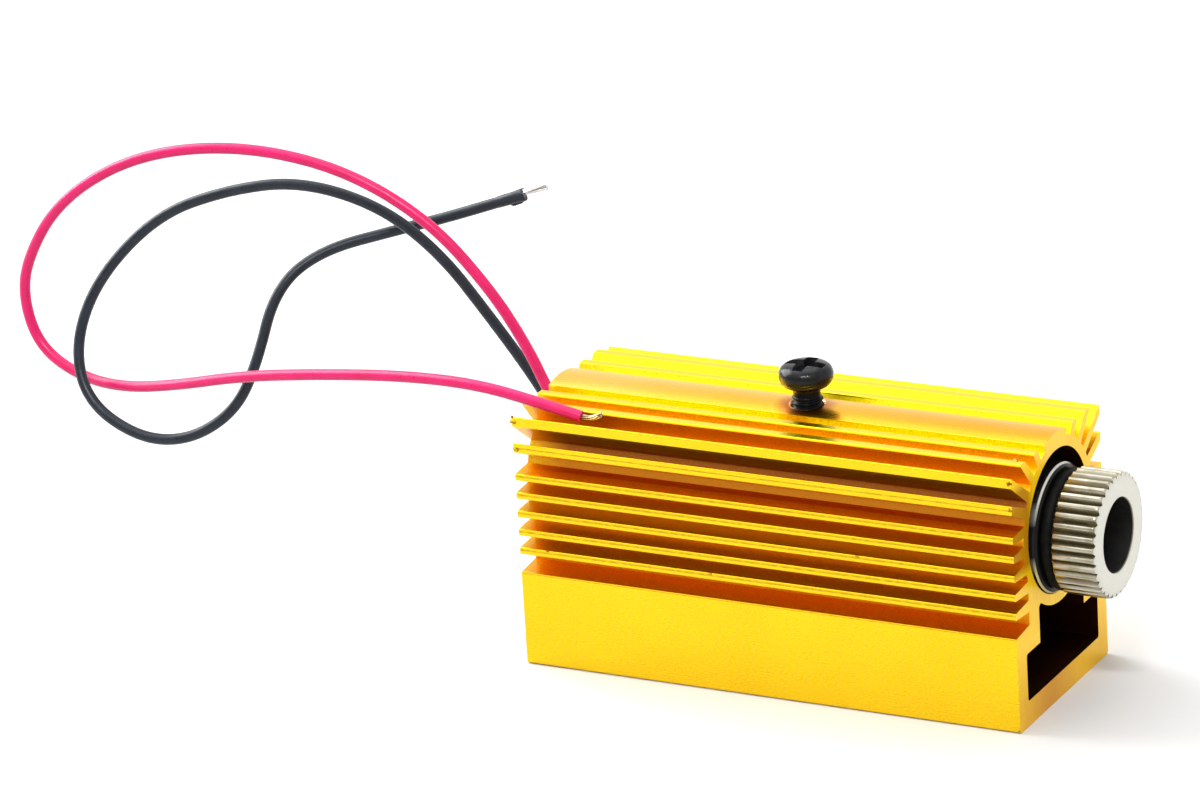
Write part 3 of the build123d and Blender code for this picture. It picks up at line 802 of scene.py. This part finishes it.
def make_focus_ring(bright, dark):
    """The knob, its dark aperture, and the neck with its fine thread."""
    chamfer_end = KNOB_REAR + KNOB_CHAMFER
    stations = [KNOB_REAR, KNOB_REAR + KNOB_CHAMFER / 2, chamfer_end]
    stations += [chamfer_end + FIRST_STATION + STATION_GAP * step for step in range(8)]
    for step in range(ROUND_STEPS + 1):
        turn = radians(90 / ROUND_STEPS * step)
        stations.append(KNOB_FRONT - KNOB_ROUND + KNOB_ROUND * sin(turn))
    rows = [knurled_ring(x) for x in stations]
    skin = Skin()
    skin.rings([rounded(rows[0])] + rows + [rounded(rows[-1])])
    middle = 0.4 * APERTURE_BEVEL
    bevel_end = (KNOB_FRONT - APERTURE_BEVEL, APERTURE_RADIUS)
    skin.lathe(
        [(KNOB_FRONT, FLUTE_BOTTOM), (KNOB_FRONT, FACE_RADIUS),
         (KNOB_FRONT, APERTURE_RADIUS + APERTURE_BEVEL),
         (KNOB_FRONT - middle, APERTURE_RADIUS + middle), bevel_end],
        KNOB_POINTS,
    )
    skin.lathe(
        [bevel_end, (LIP_FRONT + EDGE_BREAK, APERTURE_RADIUS),
         (LIP_FRONT, APERTURE_RADIUS - EDGE_BREAK), (LIP_FRONT, LIP_RADIUS + EDGE_BREAK),
         (LIP_FRONT - EDGE_BREAK, LIP_RADIUS), (LENS_FRONT, LIP_RADIUS), (LENS_FRONT, POCKET_RADIUS),
         (NECK_REAR + NECK_BREAK, POCKET_RADIUS), (NECK_REAR, POCKET_RADIUS + NECK_BREAK),
         (NECK_REAR, NECK_RADIUS - THREAD_DEPTH)],
        KNOB_POINTS, 1,
    )
    skin.lathe([(KNOB_REAR, NECK_RADIUS), (KNOB_REAR, FLUTE_BOTTOM)], KNOB_POINTS)
    skin.lathe(
        [(NECK_GROOVE, NECK_RADIUS - THREAD_DEPTH), (NECK_GROOVE + EDGE_BREAK, NECK_RADIUS),
         (KNOB_REAR, NECK_RADIUS)],
        KNOB_POINTS,
    )
    rows = []
    for step in range(NECK_STEPS + 1):
        x = NECK_REAR + (NECK_GROOVE - NECK_REAR) * step / NECK_STEPS
        rows.append(ring_at(x, lambda angle: neck_radius_at(x, angle), NECK_POINTS))
    skin.rings(rows)
    mesh = mesh_from("focus_ring_turned", skin, [bright, dark], skin.finishes, 42.0)
    return add_object(mesh, "focus_head", "nickel_brass", "focus_ring")


# Rubber ring. Its section's radius is half the gap that it fills.
O_RING_SECTION = 0.575
O_RING_GAP = 0.01
O_RING_CORNERS = 48
O_RING_POINTS = 128
SEAM_DEPTH = 0.012


def make_o_ring(rubber):
    """The rubber ring on the neck, with a faint mould seam outside and inside."""
    middle_x = KNOB_REAR - O_RING_SECTION
    middle_radius = NECK_RADIUS + O_RING_GAP + O_RING_SECTION
    profile = []
    for step in range(O_RING_CORNERS):
        angle = tau * step / O_RING_CORNERS
        reach = O_RING_SECTION - (SEAM_DEPTH if step in (0, O_RING_CORNERS // 2) else 0.0)
        profile.append((middle_x + reach * sin(angle), middle_radius + reach * cos(angle)))
    skin = Skin()
    skin.lathe(profile, O_RING_POINTS, closed=True)
    mesh = mesh_from("o_ring_moulded", skin, [rubber], sharp=80.0)
    return add_object(mesh, "focus_head", "black_rubber", "focus_o_ring")


# Focus spring.
SPRING_START = 13.64
SPRING_END = 18.36
SPRING_RADIUS = 3.9
SPRING_WIRE = 0.22
SPRING_TURNS = 5
SPRING_STEPS = 240
SPRING_CORNERS = 12
CLOSED_TURN = 0.75


def make_spring(steel):
    """The focus spring, with a closed turn at each end."""
    along = Vector((1.0, 0.0, 0.0))
    rows = []
    for step in range(SPRING_STEPS + 1):
        turn = step / SPRING_STEPS * SPRING_TURNS
        climb = min(1.0, max(0.0, (turn - CLOSED_TURN) / (SPRING_TURNS - 2 * CLOSED_TURN)))
        x = SPRING_START + (SPRING_END - SPRING_START) * climb
        angle = tau * turn
        outward = Vector((0.0, cos(angle), sin(angle)))
        middle = Vector((x, 0.0, AXIS_HEIGHT)) + outward * SPRING_RADIUS
        rows.append([
            tuple(middle + reach * (cos(corner) * outward + sin(corner) * along))
            for corner, reach in turned(SPRING_WIRE, SPRING_CORNERS)
        ])
    skin = Skin()
    skin.rings(rows)
    skin.close(SPRING_CORNERS)
    mesh = mesh_from("spring_wound", skin, [steel], sharp=60.0)
    piece = linked(mesh)
    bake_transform(piece)
    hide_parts("focus_spring")


# Clamp screw, with heights over its point.
SCREW_POINT = 22.22
SCREW_RADIUS = 1.5
SCREW_ROOT = 1.25
SCREW_PITCH = 0.5
SHANK_STEPS = 91
SHANK_POINTS = 48
POINT_SHARE = 0.75
THREAD_RUN = 0.3
RELIEF_START = 3.95
RELIEF_END = 4.66
RELIEF_RADIUS = 1.28
HEAD_TOP = 7.0
HEAD_POINTS = 64
HEAD_PROFILE = (
    (1.25, 4.3), (1.32, 4.68), (1.55, 4.74), (1.86, 4.82), (2.14, 4.98), (2.36, 5.22), (2.5, 5.52),
    (2.55, 5.86), (2.51, 6.2), (2.35, 6.55), (2.1, 6.76), (1.76, 6.9), (1.3, 6.97), (0.7, 6.99),
)
RECESS_HALF_SPAN = 1.9
RECESS_HALF_BLADE = 0.72
RECESS_DEPTH = 1.45
RECESS_TAPER = tan(radians(14.0))
RECESS_ROUND = 0.3
CUTTER_RISE = 0.6
CUTTER_TIP = 0.35
TIP_SHARE = 0.3


def screw_ring(radius, z, count):
    """A ring about the screw's axis."""
    return [
        (SCREW_X + reach * cos(angle), reach * sin(angle), SCREW_POINT + z)
        for angle, reach in turned(radius, count)
    ]


def drawn_in(ring, share, drop=0.0):
    """A ring about the screw's axis, made smaller and lowered."""
    return [(SCREW_X + (x - SCREW_X) * share, y * share, z - drop) for x, y, z in ring]


def shank_radius_at(z, angle):
    """The shank's radius along its thread, which starts low and runs out under the head."""
    fade = min(1.0, (RELIEF_START - z) / THREAD_RUN, THREAD_RUN + z)
    depth = thread_depth_at(z / SCREW_PITCH - angle / tau)
    return SCREW_ROOT + (SCREW_RADIUS - SCREW_ROOT) * fade * (1 - depth)


def screw_shank():
    """The threaded shank, whose ridges show under the head."""
    rows = []
    for step in range(SHANK_STEPS + 1):
        z = RELIEF_START * step / SHANK_STEPS
        rows.append(screw_ring(lambda angle: shank_radius_at(z, angle), z, SHANK_POINTS))
    rows.append(screw_ring(RELIEF_RADIUS, RELIEF_END, SHANK_POINTS))
    skin = Skin()
    skin.rings([drawn_in(rows[0], POINT_SHARE)] + rows)
    skin.close(SHANK_POINTS, last_too=False)
    return skin


def cross_cutter():
    """The tapered cross that cuts the recess."""
    corners = (
        (RECESS_HALF_SPAN, -RECESS_HALF_BLADE), (RECESS_HALF_SPAN, RECESS_HALF_BLADE),
        (RECESS_HALF_BLADE, RECESS_HALF_BLADE),
    )
    rows = []
    for depth in (-CUTTER_RISE, RECESS_DEPTH):
        shrink = depth * RECESS_TAPER
        row = []
        for quarter in range(4):
            turn = pi / 2 * quarter
            for u, v in corners:
                u = u - shrink
                v = v - copysign(shrink, v)
                x = u * cos(turn) - v * sin(turn)
                y = u * sin(turn) + v * cos(turn)
                row.append((SCREW_X + x, y, SCREW_POINT + (HEAD_TOP - depth)))
        rows.append(row)
    skin = Skin()
    skin.rings(rows + [drawn_in(rows[-1], TIP_SHARE, CUTTER_TIP)])
    skin.close(len(rows[-1]))
    return skin


def make_screw(black, thread):
    """The pan head screw with its cross recess and visible thread."""
    head = Skin()
    head.rings([screw_ring(radius, z, HEAD_POINTS) for radius, z in HEAD_PROFILE])
    top = len(head.points)
    last = top - HEAD_POINTS
    head.points.append((SCREW_X, 0.0, SCREW_POINT + HEAD_TOP))
    head.faces += [(last + step, last + (step + 1) % HEAD_POINTS, top) for step in range(HEAD_POINTS)]
    head.close(HEAD_POINTS, last_too=False)
    pieces = []
    for name, skin in (("screw_head", head), ("cutter", cross_cutter())):
        piece = linked(mesh_from(name, skin, [black]))
        fix_normals(piece.data)
        pieces.append(piece)
    head_object, cutter_object = pieces
    cut = head_object.modifiers.new("recess", "BOOLEAN")
    cut.operation = "DIFFERENCE"
    cut.object = cutter_object
    cut.solver = "EXACT"
    ease = head_object.modifiers.new("ease", "BEVEL")
    ease.width = RECESS_ROUND * MM
    ease.segments = 4
    ease.limit_method = "ANGLE"
    ease.angle_limit = radians(38.0)
    bpy.context.view_layer.update()
    shaped = bpy.data.meshes.new_from_object(head_object.evaluated_get(bpy.context.evaluated_depsgraph_get()))
    for piece in pieces:
        bpy.data.objects.remove(piece)
    shank = screw_shank()
    shank_mesh = mesh_from("screw_shank", shank, [black, thread], [1] * len(shank.faces))
    whole = bmesh.new()
    whole.from_mesh(shaped)
    whole.from_mesh(shank_mesh)
    mesh = mesh_of("screw_finished", whole, black, thread)
    return add_object(mesh, "housing", "black_steel", "clamp_screw")


def fix_normals(mesh):
    """Turns all the faces outward."""
    work = bmesh.new()
    work.from_mesh(mesh)
    bmesh.ops.recalc_face_normals(work, faces=work.faces)
    work.to_mesh(mesh)
    work.free()


# Wires.
WIRE_DIAMETER = 1.08
RED_ROUTE = [
    (-3.9, -1.6, 17.3), (-9.0, -1.3, 17.5), (-14.5, 0.1, 17.2), (-20.0, 1.7, 17.1),
    (-25.4, 3.4, 18.0), (-28.8, 4.7, 20.9), (-31.1, 5.0, 25.4), (-34.5, 4.7, 30.9),
    (-40.2, 4.3, 37.1), (-48.1, 3.7, 41.4), (-56.9, 3.0, 43.1), (-65.7, 2.4, 42.6),
    (-73.3, 1.8, 40.2), (-79.9, 1.4, 35.6), (-83.7, 1.2, 29.5), (-84.25, 1.1, 25.3),
    (-82.7, 0.9, 21.0), (-78.1, 0.2, 18.8), (-72.2, -1.3, 18.8), (-65.0, -3.0, 20.5),
    (-57.1, -4.4, 22.8), (-48.7, -5.6, 24.4), (-38.4, -6.8, 25.9), (-29.7, -8.0, 26.5),
    (-22.7, -8.6, 25.7), (-18.6, -8.3, 24.7),
]
BLACK_ROUTE = [
    (-3.9, 1.6, 17.3), (-9.0, 2.0, 17.0), (-14.3, 2.9, 17.3), (-19.8, 4.0, 17.1),
    (-25.4, 5.2, 17.3), (-29.6, 6.7, 18.7), (-32.4, 7.5, 22.0), (-36.3, 7.3, 27.2),
    (-40.9, 7.0, 33.0), (-46.9, 6.6, 37.3), (-54.9, 5.6, 39.3), (-62.4, 4.4, 38.0),
    (-69.5, 3.0, 35.2), (-75.4, 0.8, 28.9), (-77.1, -1.6, 22.9), (-75.2, -3.4, 17.8),
    (-69.1, -4.2, 15.0), (-63.7, -3.8, 15.3), (-59.2, -2.4, 18.3), (-57.5, -0.6, 22.6),
    (-56.5, 2.2, 29.4), (-53.2, 5.6, 32.5), (-46.3, 9.0, 34.2), (-40.5, 10.8, 35.8),
    (-34.3, 12.2, 37.9),
]
RED_TIP_ROUTE = [(-18.7, -8.3, 24.72), (-17.9, -8.3, 24.6), (-17.1, -8.38, 24.8), (-16.4, -8.5, 25.2)]
BLACK_TIP_ROUTE = [(-34.6, 12.15, 38.0), (-33.6, 12.4, 38.32), (-32.8, 12.6, 38.48), (-32.05, 12.75, 38.66)]


def new_curve(name, routes, radius, roundness, finish):
    """A curve with one smooth spline for each route's control points, as thick as its radius says."""
    curve = bpy.data.curves.new(name, "CURVE")
    curve.dimensions = "3D"
    for points in routes:
        spline = curve.splines.new("NURBS")
        spline.points.add(len(points) - 1)
        for target, point in zip(spline.points, points):
            target.co = (*place(*point), 1.0)
        spline.order_u = 3
        spline.use_endpoint_u = True
        spline.resolution_u = 12
    curve.bevel_depth = radius * MM
    curve.bevel_resolution = roundness
    curve.use_fill_caps = True
    curve.materials.append(finish)
    return curve


def make_wire(name, route, finish, slot, node):
    """One insulated wire on its whole route."""
    return add_object(new_curve(name, [route], WIRE_DIAMETER / 2, 8, finish), "housing", slot, node)


def directions(start, end):
    """The directions along a wire's end, to its side and over it."""
    along = (Vector(end) - Vector(start)).normalized()
    side = along.cross(Vector((0.0, 0.0, 1.0))).normalized()
    return along, side, side.cross(along)


# A bared end: six twisted strands round one, which stray towards their tips and differ in length.
STRANDS_ROUND = 6
STRAND_SPACING = 1.8
STRAND_TWIST = 1.3
STRAND_CUT = 0.45


def make_strands(name, route, finish, node, seed, spread, radius):
    """The bared end of a wire: tinned strands, lightly twisted, some of them standing off."""
    rng = random.Random(seed)
    _, side, over = directions(route[0], route[-1])
    routes = []
    for strand in range(STRANDS_ROUND + 1):
        reach = STRAND_SPACING * radius if strand else 0.0
        turn = tau * strand / STRANDS_ROUND
        stray = spread * rng.uniform(-1.0, 1.0)
        lift = spread * rng.uniform(-1.0, 1.0)
        points = []
        for index, point in enumerate(route):
            share = index / (len(route) - 1)
            angle = turn + STRAND_TWIST * share
            offset = (reach * cos(angle) + stray * share ** 3) * side
            offset += (reach * sin(angle) + lift * share ** 3) * over
            points.append(tuple(Vector(point) + offset))
        final = Vector(points[-1]) - Vector(points[-2])
        points[-1] = tuple(Vector(points[-1]) - final * rng.uniform(0.0, STRAND_CUT))
        routes.append(points)
    return add_object(new_curve(name, routes, radius, 4, finish), "housing", "tinned_copper", node)


# The torn end: its cuff as (distance back, radius), and its flakes as (distance back, drop, reach, width).
CUFF = (
    (3.0, 0.52), (2.9, 0.545), (2.2, 0.565), (1.5, 0.585), (0.9, 0.60),
    (0.35, 0.62), (0.08, 0.62), (0.0, 0.58), (0.0, 0.36), (0.15, 0.30),
)
CUFF_POINTS = 40
TORN_WITHIN = 0.3
FLAKES = ((0.85, 0.60, 0.50, 0.20), (1.35, 0.62, 0.36, 0.17), (0.5, 0.58, 0.25, 0.14))
FLAKE_SIDES = (0.05, -0.05)


def make_ragged_end(finish):
    """The black wire's cut insulation: a little swollen, torn at its edge, with flakes hanging from it."""
    rng = random.Random(5)
    end = Vector(BLACK_ROUTE[-1])
    along, side, over = directions(BLACK_ROUTE[-2], BLACK_ROUTE[-1])
    torn = [
        0.05 * sin(6 * pi * step / CUFF_POINTS + 1.0) + rng.uniform(-0.03, 0.03)
        for step in range(CUFF_POINTS)
    ]
    rows = []
    for back, radius in CUFF:
        row = []
        for tear, (angle, reach) in zip(torn, turned(radius, CUFF_POINTS)):
            wave = reach * (1 + 0.025 * sin(4 * angle + 3 * back) + rng.uniform(-0.01, 0.01))
            spot = end - along * (back - tear * (1.0 if back < TORN_WITHIN else 0.0))
            row.append(tuple(spot + wave * (cos(angle) * side + sin(angle) * over)))
        rows.append(row)
    skin = Skin()
    skin.rings(rows)
    for back, drop, reach, width in FLAKES:
        start = len(skin.points)
        for angle, _ in turned(width, CUFF_POINTS):
            ragged = 1 + rng.uniform(-0.22, 0.22)
            spot = end - along * (back + reach * 0.9 * ragged * cos(angle))
            spot -= over * (drop + width * ragged * sin(angle))
            skin.points += [tuple(spot + side * aside) for aside in FLAKE_SIDES]
        for step in range(CUFF_POINTS):
            here = start + 2 * step
            there = start + 2 * ((step + 1) % CUFF_POINTS)
            skin.faces.append((here, there, there + 1, here + 1))
        skin.faces.append(tuple(start + 2 * step for step in reversed(range(CUFF_POINTS))))
        skin.faces.append(tuple(start + 2 * step + 1 for step in range(CUFF_POINTS)))
    mesh = mesh_from("black_lead_end", skin, [finish], sharp=50.0)
    return add_object(mesh, "housing", "black_pvc")


# Burrs at the fins' sawn ends, and nicks along the fins: place, and size along x, y and z.
BURRS = (
    (-24.9, -10.0, 24.05, 0.42, 0.16, 0.30), (-24.7, -10.0, 21.35, 0.46, 0.16, 0.26),
    (-24.95, -9.9, 24.5, 0.22, 0.18, 0.16), (24.8, -8.2, 25.7, 0.34, 0.26, 0.2),
    (24.85, -10.0, 24.1, 0.36, 0.2, 0.28), (24.85, -10.0, 21.6, 0.30, 0.18, 0.24),
    (-5.4, -10.0, 11.55, 0.34, 0.12, 0.14), (-22.1, -10.0, 11.6, 0.30, 0.12, 0.14),
    (9.6, -10.0, 15.2, 0.26, 0.1, 0.12), (-12.3, 10.0, 15.1, 0.3, 0.12, 0.14),
    (16.4, 10.0, 11.5, 0.26, 0.1, 0.13), (-24.85, 10.0, 21.5, 0.32, 0.18, 0.24),
    (-24.8, 10.0, 24.1, 0.36, 0.18, 0.26), (24.9, -10.0, 0.35, 0.2, 0.12, 0.16),
)
BURR_SCALE = 1.6
BURR_WAVES = 6
BURR_RAGGEDNESS = 0.16


def make_burrs(finish):
    """Small torn flakes of metal, each a lump with its own ragged shape."""
    rng = random.Random(21)
    work = bmesh.new()
    for x, y, z, *size in BURRS:
        lump = bmesh.ops.create_icosphere(work, subdivisions=3, radius=1.0)["verts"]
        waves = []
        for _ in range(BURR_WAVES):
            way = Vector([rng.uniform(-1, 1) for _ in range(3)]).normalized()
            waves.append((way, rng.uniform(1.5, 4.5), rng.uniform(0, 6)))
        for vert in lump:
            swing = sum(sin(rate * vert.co.dot(way) * 2 + phase) for way, rate, phase in waves)
            ragged = 1 + BURR_RAGGEDNESS * swing
            moved = [
                spot + ragged * part * span / BURR_SCALE for spot, part, span in zip((x, y, z), vert.co, size)
            ]
            vert.co = place(*moved)
    return add_object(mesh_of("saw_burrs", work, finish), "housing", "gold_anodised")


# The room, in metres: the floor under the foot, and the lamps' places, sizes and powers.
FLOOR_REACH = 3.0
FLOOR_DROP = 0.02 * MM
LAMP_AIM = (0.0, 0.0, 0.01)
LAMPS = (
    ("top_box", (-0.35, 0.30, 1.1), (1.1, 0.9), 5.0),
    ("left_box", (-1.1, 0.1, 0.65), (1.0, 1.0), 26.0),
    ("front_strip", (0.22, -0.75, 0.90), (0.34, 0.03), 7.0),
)


def make_room():
    """The pale floor and the soft studio light."""
    floor_mesh = bpy.data.meshes.new("floor")
    corners = [(FLOOR_REACH * x, FLOOR_REACH * y, 0.0) for x, y in ((-1, -1), (1, -1), (1, 1), (-1, 1))]
    floor_mesh.from_pydata(corners, [], [(0, 1, 2, 3)])
    floor = linked(floor_mesh)
    floor.location.z = -FLOOR_DROP
    f = Finish("pale_floor")
    f.set(Base_Color=(0.515, 0.515, 0.515, 1.0), Roughness=0.75, Specular_IOR_Level=0.1)
    floor_mesh.materials.append(f.material)
    bpy.context.scene.world = make_sky()
    for name, spot, size, power in LAMPS:
        light = bpy.data.lights.new(name, "AREA")
        light.shape = "RECTANGLE"
        light.size, light.size_y = size
        light.energy = power
        lamp = linked(light)
        lamp.location = spot
        aim = Vector(LAMP_AIM) - Vector(spot)
        lamp.rotation_euler = aim.to_track_quat("-Z", "Y").to_euler()


# The sky's brightness: behind, and in front as (height, colour). It turns between them along Y.
SKY_BRIGHTEST = 2.5
SKY_BEHIND = 1.2
SKY_IN_FRONT = (
    (0.0, (0.85, 0.82, 0.78)), (0.40, (0.80, 0.75, 0.70)), (0.50, (1.30, 1.27, 1.24)),
    (0.60, (1.5, 1.48, 1.45)), (0.72, (1.6, 1.6, 1.6)), (0.80, (2.4, 2.4, 2.4)), (1.0, (2.1, 2.1, 2.1)),
)
SKY_TURN = (0.1, -0.5)


def make_sky():
    """A white room round the table, dimmer low down in front and brighter above, as in a light tent."""
    world = bpy.data.worlds.new("studio")
    world.use_nodes = True
    sky = Nodes(world.node_tree)
    _, y, height = sky.split(sky.add("ShaderNodeTexCoord").outputs["Generated"])
    front = sky.ramp(height, *[
        (level, tuple(part / SKY_BRIGHTEST for part in colour)) for level, colour in SKY_IN_FRONT
    ])
    behind = (SKY_BEHIND / SKY_BRIGHTEST,) * 3
    background = sky.tree.nodes["Background"]
    sky.put(background.inputs["Color"], sky.mix(sky.between(y, *SKY_TURN), behind, front))
    sky.put(background.inputs["Strength"], SKY_BRIGHTEST)
    return world


def dress_nodes(finishes):
    """Gives each CAD node that stays in view the finish of its slot."""
    for part in frame["record"]["subparts"]:
        node = frame["nodes"][part["node"]]
        finish = finishes[part["material_slot"]]
        node.data.materials.clear()
        node.data.materials.append(finish)


# Plain metals: dark and light tint, low and high roughness, and for two of them the grain's depth.
METALS = {
    "spring_steel": ((0.45, 0.45, 0.44), (0.62, 0.62, 0.6), 0.22, 0.35),
    "gold_plate": ((0.75, 0.50, 0.18), (0.86, 0.60, 0.25), 0.18, 0.3),
    "chip_crystal": ((0.2, 0.2, 0.24), (0.34, 0.34, 0.4), 0.15, 0.3, 0.001),
    "bright_steel": ((0.62, 0.6, 0.57), (0.74, 0.72, 0.69), 0.18, 0.3),
    "plain_brass": ((0.62, 0.4, 0.13), (0.74, 0.5, 0.2), 0.25, 0.4),
    "solder": ((0.55, 0.56, 0.58), (0.75, 0.76, 0.78), 0.15, 0.35, 0.01),
    "tinned_copper": ((0.30, 0.22, 0.11), (0.58, 0.45, 0.26), 0.2, 0.38),
    "grey_tin": (0.52, (0.78, 0.78, 0.79), 0.25, 0.4),
}

finishes = {name: plain_metal(name, *values) for name, values in METALS.items()} | {
    "gold_anodised": gold_anodised(),
    "black_steel": black_steel("black_steel", 0.2),
    "nickel_brass": nickel_barrel(),
    "black_rubber": black_rubber(),
    "lens_glass": clear_glass("lens_glass", (0.93, 0.97, 0.98), 0.02),
    "blackened_brass": blackened_brass(),
    "seal_glass": clear_glass("seal_glass", (0.12, 0.2, 0.22), 0.08),
    "green_board": green_board(),
    "black_epoxy": moulded("black_epoxy", 0.008, 0.02, 0.4, 0.6, 0.008),
    "tan_ceramic": moulded("tan_ceramic", (0.28, 0.18, 0.1), (0.4, 0.27, 0.15), 0.45, 0.6, 0.006),
    "red_pvc": insulation("red_pvc", (0.45, 0.002, 0.074), (0.535, 0.003, 0.098), 0.26, 0.40),
    "black_pvc": insulation("black_pvc", (0.004, 0.007, 0.012), (0.010, 0.015, 0.024), 0.26, 0.42),
}

make_camera()
dress_nodes(finishes)
make_room()

red_wire = make_wire("red_lead", RED_ROUTE, finishes["red_pvc"], "red_pvc", "red_wire")
black_wire = make_wire("black_lead", BLACK_ROUTE, finishes["black_pvc"], "black_pvc", "black_wire")
red_tip = make_strands("red_strands", RED_TIP_ROUTE, finishes["tinned_copper"], "red_wire_tip", 3, 0.05, 0.1)
black_tip = make_strands(
    "black_strands", BLACK_TIP_ROUTE, finishes["grey_tin"], "black_wire_tip", 8, 0.16, 0.125
)
black_end = make_ragged_end(finishes["black_pvc"])

make_focus_ring(nickel_knob(), finishes["blackened_brass"])
make_o_ring(finishes["black_rubber"])
make_spring(finishes["spring_steel"])
make_screw(finishes["black_steel"], black_steel("black_thread", 0.06))
make_burrs(torn_gold())

bpy.context.scene.view_settings.view_transform = "Standard"
